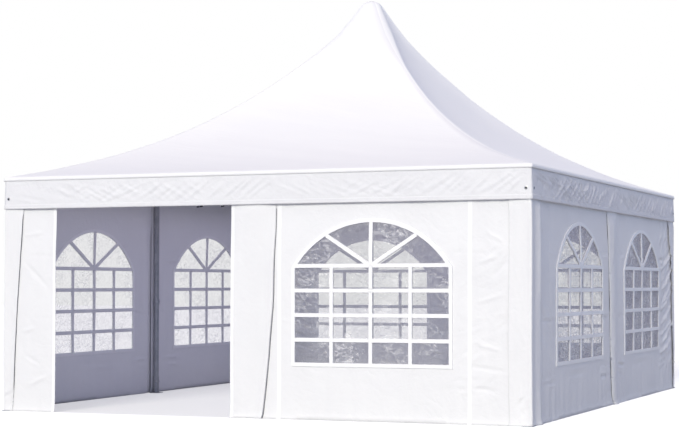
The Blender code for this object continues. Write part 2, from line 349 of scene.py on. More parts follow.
# Painted light: the roof's gores to the left and right are a shade lighter than the front and back
SIDE_GORE_PAINTED_LIGHT = (0.985, 0.985, 0.975)
WALL_CLOTH = cloth_material("wall_cloth", (0.90, 0.90, 0.905), (0.86, 0.86, 0.87), 0.10, 0.004)
ROOF_CLOTH = cloth_material("roof_cloth", (0.885, 0.885, 0.89), (0.86, 0.86, 0.87), 0.05, 0.0015, across=SIDE_GORE_PAINTED_LIGHT)
VALANCE_CLOTH = cloth_material("valance_cloth", (0.86, 0.86, 0.875), (0.82, 0.82, 0.84), 0.10, 0.006)
WELD_CLOTH = cloth_material("welded_cloth", (0.96, 0.96, 0.96), (0.93, 0.93, 0.935), 0.05, 0.001, 0.36)
FILM = film_material()
STEEL = steel_material()
BRIGHT_STEEL = plain_material("bright_steel", (0.45, 0.45, 0.46), (0.68, 0.68, 0.68), 0.3, 0.9)
# Dark rubber for the toggles; the eyelets' holes take the same dark as painted shade
DARK_RUBBER_AND_SHADE = plain_material("dark_rubber_and_shade", (0.02, 0.02, 0.022), (0.05, 0.05, 0.055), 0.55)
# Dark grey strips under free cloth edges: painted shadow of the gaps there
SHADE_TAPE = plain_material("shade_tape", (0.10, 0.10, 0.11), (0.16, 0.16, 0.17), 0.6)
WHITE_WEBBING = plain_material("white_webbing", (0.78, 0.78, 0.79), (0.9, 0.9, 0.9), 0.7)


# Making pieces

def make_piece(name, points, faces, material, uv=None, slot="cloth", replaces=(), thickness=0.0, crisp=False):
    mesh = bpy.data.meshes.new(name)
    mesh.from_pydata(np.asarray(points, float).reshape(-1, 3).tolist(), [], faces)
    if uv is not None:
        layer = mesh.uv_layers.new(name="metres")
        corners = np.empty(len(mesh.loops), dtype=np.int32)
        mesh.loops.foreach_get("vertex_index", corners)
        layer.data.foreach_set("uv", np.asarray(uv, dtype=np.float32).reshape(-1, 2)[corners].ravel())
    mesh.materials.append(material)
    mesh.shade_smooth()
    if crisp:
        mesh.set_sharp_from_angle(angle=math.radians(35))
    piece = bpy.data.objects.new(name, mesh)
    bpy.context.scene.collection.objects.link(piece)
    if thickness:
        solid = piece.modifiers.new("thickness", "SOLIDIFY")
        solid.thickness = thickness
        solid.offset = -1
    if slot:
        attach(piece, "root")
    if replaces:
        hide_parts(*replaces)
    return piece


def grid_faces(columns, rows, closed=False, looped=False, first=0):
    """Quads of a grid whose points run along each row. Closed joins a row's ends, looped the last row to the first."""
    faces = []
    for row in range(rows if looped else rows - 1):
        low, high = first + row * columns, first + (row + 1) % rows * columns
        for column in range(columns if closed else columns - 1):
            after = (column + 1) % columns
            faces.append((low + column, low + after, high + after, high + column))
    return faces


def spaced(path, step, closed=False):
    """The points of a path with more between them, about a step apart."""
    found = []
    for start, end in zip(path, [*path[1:], path[0]] if closed else path[1:]):
        count = max(1, round(math.dist(start, end) / step))
        for index in range(count):
            share = index / count
            found.append((start[0] + (end[0] - start[0]) * share, start[1] + (end[1] - start[1]) * share))
    return found if closed else [*found, path[-1]]


def edges_of(outline):
    return zip(outline, [*outline[1:], outline[0]])


def inside(points, loops):
    """Which points lie in an outline but in none of its holes."""
    found = np.zeros(len(points), dtype=bool)
    u, z = points[:, 0], points[:, 1]
    for loop in loops:
        for (u0, z0), (u1, z1) in edges_of(loop):
            if z0 != z1:
                crosses = (z0 > z) != (z1 > z)
                found ^= crosses & (u < (u1 - u0) * (z - z0) / (z1 - z0) + u0)
    return found


@functools.cache
def filled(outlines, step, smooth):
    """Flat points and triangles, about a step apart, that fill the first outline less the others.

    Where u lies between the two values of smooth they are twice as far apart.
    """
    loops = [spaced(loop, step, closed=True) for loop in outlines]
    rims = np.array([point for loop in loops for point in loop])
    low, high = rims.min(axis=0), rims.max(axis=0)
    rows = int((high[1] - low[1]) / (step * math.sqrt(3) / 2))
    columns = int((high[0] - low[0]) / step) + 2
    places = []
    for row in range(rows):
        z = low[1] + (row + 0.5) * (high[1] - low[1]) / rows
        for column in range(columns):
            u = low[0] + column * step + step / 2 * (row % 2)
            if not smooth[0] < u < smooth[1] or not (row % 2 or (column + row // 2) % 2):
                places.append((u, z))
    inner = np.array(places)
    inner = inner[inside(inner, loops)]
    nearest = np.full(len(inner), np.inf)
    for point in rims:
        np.minimum(nearest, ((inner - point) ** 2).sum(axis=1), out=nearest)
    inner = inner[nearest > (0.6 * step) ** 2]
    edges = []
    for loop in loops:
        first, count = len(edges), len(loop)
        edges += [(first + index, first + (index + 1) % count) for index in range(count)]
    made = geometry.delaunay_2d_cdt([Vector(point) for point in np.concatenate([rims, inner])], edges, [], 0, 1e-6)
    flat = np.array([tuple(point) for point in made[0]])
    triangles = np.array(made[2])
    triangles = triangles[inside(flat[triangles].mean(axis=1), loops)]
    a, b, c = (flat[triangles[:, index]] for index in range(3))
    turned = (b[:, 0] - a[:, 0]) * (c[:, 1] - a[:, 1]) - (b[:, 1] - a[:, 1]) * (c[:, 0] - a[:, 0]) < 0
    triangles[turned] = triangles[turned][:, ::-1]
    used, numbers = np.unique(triangles, return_inverse=True)
    return flat[used], numbers.reshape(-1, 3).tolist()


def panel(name, side, outlines, surface, material=WALL_CLOTH, step=WALL_STEP, smooth=(0, 0), **looks):
    """A panel of cloth or film with any holes in it. surface(u, z) gives its outer face's depth."""
    outlines = tuple(tuple((float(u), float(z)) for u, z in loop) for loop in outlines)
    flat, triangles = filled(outlines, step, smooth)
    u, z = flat.T
    points = to_world(side, u, surface(u, z), z)
    return make_piece(name, points, triangles, material, flat + UV_SHIFT[side], **{"thickness": CLOTH_T, **looks})


def ribbon(name, side, paths, profile, surface, material=WELD_CLOTH, closed=False):
    """Welded strips that follow flat paths on a surface. The profile is (across, lift) points, left to right."""
    points, faces, flats = [], [], []
    across, lift = np.array(profile).T
    width = len(profile)
    first = 0
    for path in paths:
        line = np.array(spaced(path, STRIP_STEP, closed))
        count = len(line)
        if closed:
            steps = np.diff(line, axis=0, prepend=line[-1:], append=line[:1])
        else:
            steps = np.diff(line, axis=0)[[0, *range(count - 1), -1]]
        steps /= np.linalg.norm(steps, axis=1)[:, None]
        mean = steps[:-1] + steps[1:]
        mean /= np.linalg.norm(mean, axis=1)[:, None]
        stretch = 1 / np.clip((mean * steps[1:]).sum(axis=1), 0.5, 1)
        right = np.stack([mean[:, 1], -mean[:, 0]], axis=1) * stretch[:, None]
        flat = (line[:, None, :] + right[:, None, :] * across[None, :, None]).reshape(-1, 2)
        u, z = flat.T
        points.append(to_world(side, u, surface(u, z) + np.tile(lift, count), z))
        flats.append(flat + UV_SHIFT[side])
        faces += grid_faces(width, count, closed=True, looped=closed, first=first)
        last = first + (count - 1) * width
        if not closed:
            faces.append(tuple(reversed(range(first, first + width))))
            faces.append(tuple(range(last, last + width)))
        first = last + width
    return make_piece(name, np.concatenate(points), faces, material, np.concatenate(flats), crisp=True)


def strip_profile(width, lift, base=0.0001):
    """A welded strip's cross-section: a flat top between steep edges, on a flat underside."""
    half = width / 2
    bevel = min(0.0012, lift / 2)
    low, high = base + lift * 0.3, base + lift
    return [(-half, low), (bevel - half, high), (half - bevel, high), (half, low), (half, base), (-half, base)]


def behind_film(profile):
    """The thinner strip on the inner face of the film, under a strip with this profile."""
    return [(-across, -0.0026 - lift * 0.25) for across, lift in profile]


# Roof

STRAIGHT_RISE = 0.69
SWEEP_RISE, SWEEP_POWER = 1.10, 2.4
TIP_RISE, TIP_POWER = 0.233, 8.8
TIP_HALF = 0.004
CROWN_HALF = CROWN_R / math.sqrt(2)
EAVE_SLOPE = math.atan(STRAIGHT_RISE / HALF)
BEAD_R = 0.028
BEAD_STEPS = 6
LIP_Z = EAVE_Z - 0.036
LIP_OVERHANG = 0.009
FRONT_OVERHANG = 0.0025
STRAIGHTS = 44
BENDS = 6
ROOF_ROWS = 74

# Distances from the centre, with the radius of the corners there, and with the sag of the sides
CORNER_RADII = ((0, 0.1, 0.3, 0.6, 1.0, 1.8, 2.35, 2.5), (0, 0.098, 0.14, 0.04, 0.05, 0.08, 0.05, 0.014))
SAGS = ((0, 0.1, 0.35, 0.9, 1.7, 2.5), (0, 0.03, 0.08, 0.08, 0.03, 0.0))


def roof_height(half):
    """Height of the level curve that is this far from the centre, measured square to the eave."""
    up = 1 - half / HALF
    sweep = STRAIGHT_RISE * up + SWEEP_RISE * up**SWEEP_POWER + TIP_RISE * up**TIP_POWER
    crown = (PEAK_Z - CROWN_Z) * (1 - (half / CROWN_HALF) ** 2)
    return CROWN_Z + crown if half < CROWN_HALF else EAVE_Z + sweep


def level_curve(half, corner_r, sag=0.0):
    """A square ring with round corners, from the front left corner round by the right. Sag draws its sides in."""
    corner_r = min(corner_r, 0.98 * half)
    straight = half - corner_r
    found = []
    for step in range(STRAIGHTS):
        across = math.sin((step / (STRAIGHTS - 1) - 0.5) * math.pi)
        found.append((across * straight, -half + sag * half * (1 - abs(across) ** 2.6)))
    for step in range(1, BENDS):
        angle = math.pi / 2 * step / BENDS
        found.append((straight + corner_r * math.sin(angle), -straight - corner_r * math.cos(angle)))
    turns = [np.array(found)]
    for _ in range(3):
        turns.append(turns[-1][:, ::-1] * (-1, 1))
    return np.concatenate(turns)


def roof_cover():
    """One sheet from the crown to the eave, where it turns down over the tube and ends in a lip."""
    bead_start = HALF - BEAD_R * (1 - math.sin(EAVE_SLOPE))
    centre_z = roof_height(bead_start) - BEAD_R * math.cos(EAVE_SLOPE)
    rows = [(level_curve(HALF - 0.75 * LIP_OVERHANG, 0.010), LIP_Z + 0.001), (level_curve(HALF, 0.012), LIP_Z)]
    for step in range(BEAD_STEPS, 0, -1):
        turn = EAVE_SLOPE + (math.pi / 2 - EAVE_SLOPE) * step / BEAD_STEPS
        half = HALF - BEAD_R + BEAD_R * math.sin(turn)
        rows.append((level_curve(half, 0.013), centre_z + BEAD_R * math.cos(turn)))
    for step in range(ROOF_ROWS + 1):
        half = TIP_HALF + (bead_start - TIP_HALF) * (1 - step / ROOF_ROWS) ** 1.5
        rows.append((level_curve(half, np.interp(half, *CORNER_RADII), np.interp(half, *SAGS)), roof_height(half)))
    columns = len(rows[0][0])
    points = np.array([np.column_stack([ring, np.full(columns, height)]) for ring, height in rows])
    flat = []
    for (ring, _height), run in zip(rows, run_along(points[:, columns // 8])):
        girth = run_along(ring)
        flat.append(np.column_stack([girth - girth[-1] / 2, np.full(columns, run)]))
    points = points.reshape(-1, 3)
    slack = ease(HALF - np.abs(points[:, :2]).max(axis=1), 0.05, 0.5) * ease(PEAK_Z - points[:, 2], 0.3, 0.9)
    points[:, 2] += slack * ripples(points[:, 0], points[:, 1], "roof", 14, (0.35, 1.3), (0, 180), 0.0022)
    faces = grid_faces(columns, len(rows), closed=True)
    faces.append(tuple(range(len(points) - columns, len(points))))
    gores = [f"roof_gore_{side}" for side in TURNS]
    piece = make_piece("roof_cover", points, faces, ROOF_CLOTH, flat, replaces=[*gores, "roof_crown"], thickness=CLOTH_T)


# Valance

SKIRT_DEPTH = HALF - LIP_OVERHANG
SKIRT_CORNER_R = 0.012
SKIRT_STRAIGHT = SKIRT_DEPTH - SKIRT_CORNER_R
SKIRT_BENDS = 5
SKIRT_TOP_Z = LIP_Z + 0.006
SKIRT_FLARE = 0.007
SKIRT_STEPS = {"front": 0.0135, "right": 0.0100, "back": 0.0180, "left": 0.0160}
SKIRT_SEAM = 0.2
HEM = 0.04

# Folds left by packing: from u, to u, lean in degrees, height and spacing
SKIRT_FOLDS = (
    (-2.25, -1.5, -14, 0.0045, 0.13),
    (-1.85, -1.05, -24, 0.0075, 0.09),
    (-1.7, -0.95, 26, 0.0075, 0.09),
    (-1.15, -0.55, -32, 0.0065, 0.09),
    (-0.95, 0.12, 36, 0.0095, 0.08),
    (0.35, 1.2, -22, 0.0050, 0.12),
    (0.9, 1.6, 30, 0.0065, 0.10),
    (1.35, 2.40, 38, 0.0090, 0.085),
)
FOLD_STRENGTH = {"front": 0.55, "right": 2.6, "back": 1.2, "left": 1.8}
FOLD_LIMIT = 0.014
FOLD_WIDTH = {"front": 0.013, "right": 0.0095, "back": 0.016, "left": 0.014}


@functools.cache
def skirt_creases(side):
    draw = random.Random("skirt " + side)
    strength, width = FOLD_STRENGTH[side], FOLD_WIDTH[side]
    found = []
    for start, end, angle, height, pitch in SKIRT_FOLDS:
        place = start
        while place < end:
            lean = math.radians(abs(angle) + draw.uniform(-6, 6))
            rise = draw.uniform(0.09, 0.20) * min(1, abs(angle) / 24)
            low = draw.uniform(VALANCE_FOOT_Z + 0.03 + rise / 2, SKIRT_TOP_Z - 0.02 - rise / 2) - rise / 2
            du = math.copysign(rise / math.tan(lean) / 2, angle)
            size = height * strength * draw.uniform(0.55, 1.15)
            for shift, share in ((0, 1), (1.8 * width / math.sin(lean), -0.6)):
                found.append((place - du + shift, low, place + du + shift, low + rise, share * size, width))
            place += pitch * draw.uniform(0.7, 1.35)
    box = (-2.35, 2.38, VALANCE_FOOT_Z + 0.03, SKIRT_TOP_Z - 0.03)
    heights = (0.0012 * strength, 0.004 * strength)
    for lean in ((20, 60), (-60, -15)):
        found += scattered(f"fine {side} {lean[0]}", 90, box, lean, (0.05, 0.15), heights, 0.65 * width)
    return found


def skirt_relief(side, u, z):
    """How far the skirt's cloth stands out from its plane."""
    hang = ripples(u, z, "skirt waves " + side, 9, (0.16, 0.6), (62, 118), 0.0018)
    near_end = ease(HALF - np.abs(u), 0.03, 0.14)
    down = ease(SKIRT_TOP_Z - z, 0.0, 0.05)
    held = 0.25 + 0.75 * ease(z - VALANCE_FOOT_Z, 0.0, HEM)
    folds = FOLD_LIMIT * np.tanh(creased(u, z, skirt_creases(side)) / FOLD_LIMIT) * held
    seam = 0.002 * bell(u, SKIRT_SEAM, 0.02)
    flare = SKIRT_FLARE * ease(SKIRT_TOP_Z - z, 0.0, 0.25)
    if side == "front":
        flush = (LIP_OVERHANG - FRONT_OVERHANG) * ease(SKIRT_DEPTH - np.abs(u), 0.0, 0.03)
        flare = np.maximum(flare, flush)
    return near_end * down * (hang + folds) + down * seam + flare


def skirt_piece(name, levels, lift, replaces=()):
    """A band of cloth round the four sides and their corners, with a row of points at each level."""
    points, flat = [], []
    for z in levels:
        for side, degrees in TURNS.items():
            count = round(2 * SKIRT_STRAIGHT / SKIRT_STEPS[side]) + 1
            bends = np.arange(1, SKIRT_BENDS) / SKIRT_BENDS * math.pi / 2
            u = np.append(np.linspace(-SKIRT_STRAIGHT, SKIRT_STRAIGHT, count), np.full(len(bends), SKIRT_STRAIGHT))
            turn = np.append(np.zeros(count), bends)
            height = np.full(len(u), z)
            reach = SKIRT_CORNER_R + lift + skirt_relief(side, u, height)
            points.append(to_world(side, u + reach * np.sin(turn), SKIRT_STRAIGHT + reach * np.cos(turn), height))
            flat.append(np.column_stack([2 * HALF * degrees / 90 + u + SKIRT_CORNER_R * turn, height]))
    points = np.concatenate(points)
    faces = grid_faces(len(points) // len(levels), len(levels), closed=True)
    flat = np.concatenate(flat)
    return make_piece(name, points, faces, VALANCE_CLOTH, flat, replaces=replaces, thickness=CLOTH_T)


def valance():
    levels = np.linspace(VALANCE_FOOT_Z, SKIRT_TOP_Z, 22)
    skirt = skirt_piece("valance_cloth", levels, 0.0, [f"valance_{side}" for side in TURNS])
    levels = np.linspace(VALANCE_FOOT_Z - 0.0005, VALANCE_FOOT_Z + HEM, 5)
    hem = skirt_piece("valance_hem", levels, 0.0012)


# Walls

PACK_FOLDS_Z = (0.285, 0.36, 0.83, 1.385)
PACK_FOLDS_U = ((-2.28, -1.8), (-1.6, -0.9), (-0.5, -0.12), (0.15, 0.42), (0.7, 1.4), (1.8, 2.15))
DEEP_FOLDS_U = ((-2.3, -1.98), (-0.56, -0.27), (0.16, 0.36), (1.83, 2.0))
TOP_RECESS = 0.0125
FOOT_FLARE = 0.014
WALL_FOLDS = {"front": 0.45, "right": 1.9, "back": 1.1, "left": 1.6}

# The clearest wrinkles of the front, as (u, z) to (u, z)
FRONT_STROKES = (
    (2.10, 1.555, 2.25, 1.465), (2.16, 1.18, 2.28, 1.32), (2.05, 1.30, 2.20, 1.36), (2.20, 0.76, 2.33, 0.88),
    (2.03, 0.645, 2.24, 0.595), (1.96, 0.47, 2.29, 0.425), (2.02, 0.98, 2.27, 1.05), (1.98, 0.30, 2.2, 0.27),
    (-2.29, 1.565, -2.08, 1.595), (-2.29, 1.34, -2.0, 1.07), (-2.29, 0.71, -2.16, 0.745),
    (-2.28, 0.505, -2.1, 0.415), (-2.24, 0.23, -1.99, 0.335), (-0.1, 1.50, 0.12, 1.44),
    (-0.08, 0.62, 0.1, 0.70), (0.30, 1.86, 0.52, 1.80),
)


@functools.cache
def wall_creases(side):
    """Where the cloth was folded for packing, and the slanted wrinkles beside the posts."""
    draw = random.Random("wall " + side)
    size = WALL_FOLDS[side]
    found = []
    for level in PACK_FOLDS_Z:
        for start, end in PACK_FOLDS_U:
            height = size * draw.uniform(0.0012, 0.0042) * draw.choice((-1, 1))
            tilt = draw.uniform(-0.010, 0.010)
            found.append((start, level - tilt, end, level + tilt, height, 0.012))
            found.append((start, level - tilt + 0.026, end, level + tilt + 0.026, -0.7 * height, 0.014))
        if side != "front":
            for start, end in DEEP_FOLDS_U:
                tilt = draw.uniform(-0.012, 0.012)
                found.append((start, level - tilt, end, level + tilt, -0.009 * draw.uniform(0.5, 1.2), 0.012))
    for seed, count, near, lean, heights in (("-1", 30, (-2.3, -1.86), (120, 165), (0.001, 0.003)),
                                             ("1", 60, (1.86, 2.3), (15, 50), (0.002, 0.0055))):
        heights = (heights[0] * size, heights[1] * size)
        found += scattered(f"{side} {seed}", count, (*near, 0.2, 1.7), lean, (0.08, 0.3), heights, 0.014)
    if side == "front":
        found += [(*line, 0.006 * (-1) ** index, 0.014) for index, line in enumerate(FRONT_STROKES)]
    for step in range(0 if side == "front" else 9):
        z = 0.36 + 0.115 * step + draw.uniform(-0.04, 0.04)
        bend = draw.uniform(-0.3, 1.2)
        height = size * draw.uniform(0.006, 0.016)
        found.append((1.87 + 0.05 * bend, z, 2.15, z + 0.08, height, 0.018))
        found.append((2.06, z + 0.05, 2.37, z + 0.18 + 0.06 * bend, height * 1.2, 0.019))
        found.append((1.95, z + 0.05, 2.3, z + 0.17 + 0.04 * bend, -0.6 * height, 0.022))
    found += scattered(f"{side} low", 30, (-2.2, 2.2, 0.06, 0.45), (-12, 12), (0.1, 0.35), (0.0006, 0.0018), 0.018)
    for sign in (-1, 1):
        box = (sign * WINDOW_OFFSET - 0.78, sign * WINDOW_OFFSET + 0.78, 0.3, 0.44)
        found += scattered(f"{side} sill {sign}", 14, box, (60, 120), (0.06, 0.14), (0.0008, 0.0018), 0.015)
    return found


def wall_depth(side, u, z):
    """Depth of a wall's outer face: held off by the posts, drawn in at its top, turned out at the ground."""
    off_post = np.minimum(np.abs(u), np.abs(POST_LINE - np.abs(u)))
    free = ease(off_post, 0.03, 0.13)
    billow = ripples(u, z, "billow " + side, 8, (0.5, 1.2), (60, 120), 0.0024)
    hanging = ripples(u, z, "hanging " + side, 10, (0.09, 0.22), (82, 98), 0.0013)
    beside = ease(np.abs(np.abs(u) - WINDOW_OFFSET), WINDOW_HALF, WINDOW_HALF + 0.25)
    beside = np.maximum(beside, ease(SILL_Z - 0.04 - z, 0.0, 0.15)) * (0.7 + 0.5 * WALL_FOLDS[side])
    below_tube = ease(WALL_TOP_Z - z, 0.02, 0.2)
    recess = TOP_RECESS * ease(off_post, 0.035, 0.25) * ease(z, 1.3, 1.74)
    flare = FOOT_FLARE * np.exp(-np.maximum(z - WALL_FOOT_Z, 0) / 0.022)
    moving = billow + hanging * beside + creased(u, z, wall_creases(side)) - recess
    return WALL_DEPTH + free * below_tube * moving + flare


def wall_outline(left, right, low=WALL_FOOT_Z):
    return [(left, low), (right, low), (right, WALL_TOP_Z), (left, WALL_TOP_Z)]


def window_arch(grow=0.0):
    """Radius and centre height of the arc over a window that is this much larger all round."""
    rise = ARCH_TOP_Z - SPRING_Z + grow
    radius = ((WINDOW_HALF + grow) ** 2 + rise**2) / (2 * rise)
    return radius, SPRING_Z + rise - radius


def window_outline(centre, grow):
    """A window's edge: straight sides up to the spring line, then an arc of a circle, anticlockwise."""
    half = WINDOW_HALF + grow
    radius, centre_z = window_arch(grow)
    sweep = math.asin(half / radius)
    points = [(centre - half, SILL_Z - grow), (centre + half, SILL_Z - grow)]
    for step in range(ARCH_STEPS + 1):
        angle = sweep - 2 * sweep * step / ARCH_STEPS
        points.append((centre + radius * math.sin(angle), centre_z + radius * math.cos(angle)))
    return points


def bar_paths(centre):
    """The middle lines of a window's bars: three rows, the spring bar, three columns and three spokes."""
    end = WINDOW_HALF + 0.01
    paths = [[(centre - end, z), (centre + end, z)] for z in (*BAR_ROWS, SPRING_BAR_Z)]
    paths += [[(centre + u, SILL_Z - 0.01), (centre + u, SPRING_BAR_Z)] for u in BAR_COLUMNS]
    paths.append([(centre, SPRING_BAR_Z), (centre, ARCH_TOP_Z + 0.01)])
    radius, centre_z = window_arch()
    across, up = math.cos(SPOKE_ANGLE), math.sin(SPOKE_ANGLE)
    reach = 0.0
    while math.hypot(reach * across, SPRING_BAR_Z + reach * up - centre_z) < radius:
        reach += 0.005
    for sign in (-1, 1):
        paths.append([(centre, SPRING_BAR_Z), (centre + sign * reach * across, SPRING_BAR_Z + reach * up)])
    return paths


WELD_WIDTH = 0.036
WELD_OFFSETS = (-0.8395, 0.8685)


def window_panel(side, half, surface, outline):
    """A wall panel with its clear window, the welded border and the bars on both faces of the film.

    Two upright seams show where the piece with the window is welded to plain cloth.
    """
    label = f"{side}_{half}"
    outward = 1 if half == "right" else -1
    centre = outward * WINDOW_OFFSET
    opening, lap = window_outline(centre, 0.006), window_outline(centre, FILM_LAP)
    smooth = (centre - WINDOW_HALF + 0.02, centre + WINDOW_HALF - 0.02)
    name, replaced = f"wall_cloth_{label}", [f"wall_{label}"]
    cloth = panel(name, side, [outline, opening], surface, smooth=smooth, replaces=replaced)

    def film_surface(u, z):
        return surface(u, z) - 0.0016

    looks = {"slot": "film", "replaces": [f"window_film_{label}"], "thickness": FILM_T}
    film = panel(f"window_{label}", side, [lap], film_surface, FILM, FILM_STEP, **looks)

    bars, bar_profile = bar_paths(centre), strip_profile(BAR_WIDTH, BAR_LIFT)
    border, border_profile = [window_outline(centre, BORDER_WIDTH / 2)], strip_profile(BORDER_WIDTH, BAR_LIFT, 0.0003)
    places = [centre + outward * offset for offset in WELD_OFFSETS]
    welds = [[(u, WALL_FOOT_Z + 0.002), (u, WALL_TOP_Z - 0.02)] for u in places]
    weld_profile = strip_profile(WELD_WIDTH, 0.0016 if side == "front" else 0.0008)
    weld_cloth = WELD_CLOTH if side == "front" else WALL_CLOTH
    pieces = [
        ribbon(f"window_bars_{label}", side, bars, bar_profile, surface),
        ribbon(f"window_bar_backs_{label}", side, bars, behind_film(bar_profile), surface, WALL_CLOTH),
        ribbon(f"window_border_{label}", side, border, border_profile, surface, closed=True),
        ribbon(f"window_lining_{label}", side, border, behind_film(border_profile), surface, closed=True),
        ribbon(f"weld_seams_{label}", side, welds, weld_profile, surface, weld_cloth),
    ]


# Where the free edge of the right panel lies at these heights, and where its wrap round the post ends
OVERLAP_HEIGHTS = (0.0, 0.1, 1.6, 2.09)
OVERLAP_EDGE = (-0.03, -0.077, -0.19, -0.225)
OVERLAP_END = 0.12
OVERLAP_RISE = 0.024
PANEL_REACH = POST_LINE - 0.006
# Width of the dark strips that paint the shadow under free cloth edges
SHADE_TAPE_WIDTH = 0.0045


def overlap_edge(z):
    return np.interp(z, OVERLAP_HEIGHTS, OVERLAP_EDGE)


def overlap_depth(side, u, z):
    """The wall's surface where the right panel wraps over the middle post, on the outside of the left one."""
    edge = overlap_edge(z) + 0.004 * np.sin(9 * z + TURNS[side]) + 0.002 * np.sin(31 * z)
    share = np.clip((u - edge) / (OVERLAP_END - edge), 0, 1)
    lift = OVERLAP_RISE * np.sin(math.pi * share**0.7)
    crumple = ripples(u, z, "overlap " + side, 9, (0.05, 0.2), (30, 85), 0.0014) * bell(share, 0.35, 0.35)
    valley = -0.006 * bell(u, OVERLAP_END + 0.04, 0.035) * ease(z, 0.1, 0.3)
    tucked = 0.08 + 0.92 * ease(VALANCE_FOOT_Z - 0.01 - z, 0.0, 0.14)
    return wall_depth(side, u, z) + np.where(share < 1, 0.0025 + (lift + crumple) * tucked, valley * tucked)


def shade_tape(name, side, path, lift=0.0):
    """A dark strip drawn as a zip tape on a wall, just under the free edge of the cloth that closes over it: painted
    shadow for the shaded gap under that edge.
    """
    profile = [(across, height + lift) for across, height in strip_profile(SHADE_TAPE_WIDTH, 0.0014)]
    ribbon(name, side, [path], profile, functools.partial(wall_depth, side), SHADE_TAPE)


def windowed_walls():
    for side in TURNS:
        plain = functools.partial(wall_depth, side)
        if side == "front":
            window_panel(side, "right", plain, wall_outline(-0.03, PANEL_REACH))
            continue
        window_panel(side, "left", plain, wall_outline(-PANEL_REACH, 0.05))
        outline = wall_outline(OVERLAP_EDGE[0], PANEL_REACH)
        outline[3:] = [(OVERLAP_EDGE[3], WALL_TOP_Z), *((overlap_edge(z), z) for z in (1.6, 0.1))]
        # Painted shadow under the right panel's free edge, as a dark strip
        tape = [(overlap_edge(z) - 0.001, z) for z in (0.02, 0.1, 1.6, 1.78)]
        shade_tape(f"shade_tape_{side}_middle", side, tape)
        window_panel(side, "right", functools.partial(overlap_depth, side), outline)


# Corners: the ends of the walls wrap round the corner posts

WRAP_CORNER = HALF - 0.007
WRAP_CORNER_R = 0.012
WRAP_TUCK = 0.006
WRAP_ROWS = 130
WRAP_LEG = 22
WRAP_BEND = 5


def behind_valance(z):
    """Runs from 0 below the valance to 1 behind it."""
    return ease(z, VALANCE_FOOT_Z - 0.08, VALANCE_FOOT_Z + 0.01)


class WrapLeg:
    """One side of a corner strip: how far it reaches at some heights, and how its cloth stands off the wall."""

    def __init__(self, heights, reaches, ridge=0.004, ridge_at=0.15, stand=0.004, fall=0.045):
        self.heights, self.reaches = heights, reaches
        self.ridge, self.ridge_at = ridge, ridge_at
        self.stand, self.fall = stand, fall

    def reach(self, z):
        return float(np.interp(z, self.heights, self.reaches))

    def depth(self, side, sign, away, z, phase):
        """Depth of the strip's outer face this far from the tent's corner, at one height."""
        wall = wall_depth(side, sign * (HALF - away), z)
        settle = ease(away, 0.004, self.fall)
        wave = 0.0022 * np.sin(5.3 * z + phase + 11 * away) * ease(away, 0.02, 0.1)
        ridge = self.ridge * (1 + 0.3 * np.sin(4.1 * z + phase)) * bell(away, self.ridge_at, 0.05)
        ridge = ridge - 0.4 * self.ridge * bell(away, 0.09, 0.03)
        free = self.stand * (1 - ease(self.reach(z[0]) - away, 0.0, 0.05)) * ease(z, 0.0, 0.25)
        outer = np.maximum(np.minimum(wall, WALL_DEPTH + 0.004) + 0.003, wall + 0.0025)
        tuck = behind_valance(z)
        return (WRAP_CORNER - WRAP_TUCK * tuck) * (1 - settle) + outer * settle + (wave + ridge + free) * (1 - tuck)


def corner_wrap(name, first_side, first_leg, second_leg, replaced):
    """A strip round the post between first_side's right end and the next side's left end."""
    creases = scattered(name + " foot", 26, (-0.11, 0.16, 0.02, 0.3), (25, 85), (0.05, 0.16), (0.002, 0.006), 0.011)
    creases += scattered(name + " up", 40, (-0.2, 0.26, 0.3, 1.75), (60, 120), (0.1, 0.4), (0.001, 0.0025), 0.012)
    phase = random.Random(name).random() * 6
    bends = np.linspace(0, math.pi / 2, WRAP_BEND + 2)[1:-1]
    rows, flats = [], []
    for z in np.linspace(WALL_FOOT_Z, WALL_TOP_Z, WRAP_ROWS):
        tuck = float(behind_valance(z))
        wander = 0.0025 * math.sin(4.3 * z + phase) + 0.0015 * math.sin(17 * z) * math.exp(-z / 0.5)
        wander *= 1 - tuck
        corner = WRAP_CORNER + wander - WRAP_TUCK * tuck
        legs = []
        for side, leg, sign in ((first_side, first_leg, 1), (NEXT_SIDE[first_side], second_leg, -1)):
            away = np.linspace(0, 1, WRAP_LEG) ** 1.15 * (leg.reach(z) - WRAP_CORNER_R) + WRAP_CORNER_R
            height = np.full(WRAP_LEG, z)
            depth = leg.depth(side, sign, away, height, phase) + wander * (1 - ease(away, 0.01, 0.06))
            depth += creased(-sign * away, height, creases) * ease(away, 0.01, 0.03)
            legs.append(to_world(side, sign * (corner - away), depth, height))
        middle = corner - WRAP_CORNER_R
        arc_u, arc_depth = middle + WRAP_CORNER_R * np.sin(bends), middle + WRAP_CORNER_R * np.cos(bends)
        bend = to_world(first_side, arc_u, arc_depth, np.full(WRAP_BEND, z))
        row = np.concatenate([legs[0][::-1], bend, legs[1]])
        rows.append(row)
        flats.append(np.column_stack([run_along(row) + UV_SHIFT[first_side][0], np.full(len(row), z)]))
    faces = grid_faces(2 * WRAP_LEG + WRAP_BEND, WRAP_ROWS)
    piece = make_piece(name, rows, faces, WALL_CLOTH, flats, replaces=[replaced], thickness=CLOTH_T)
    widths = [first_leg.reach(z) + second_leg.reach(z) for z in np.linspace(WALL_FOOT_Z, WALL_TOP_Z, 9)]


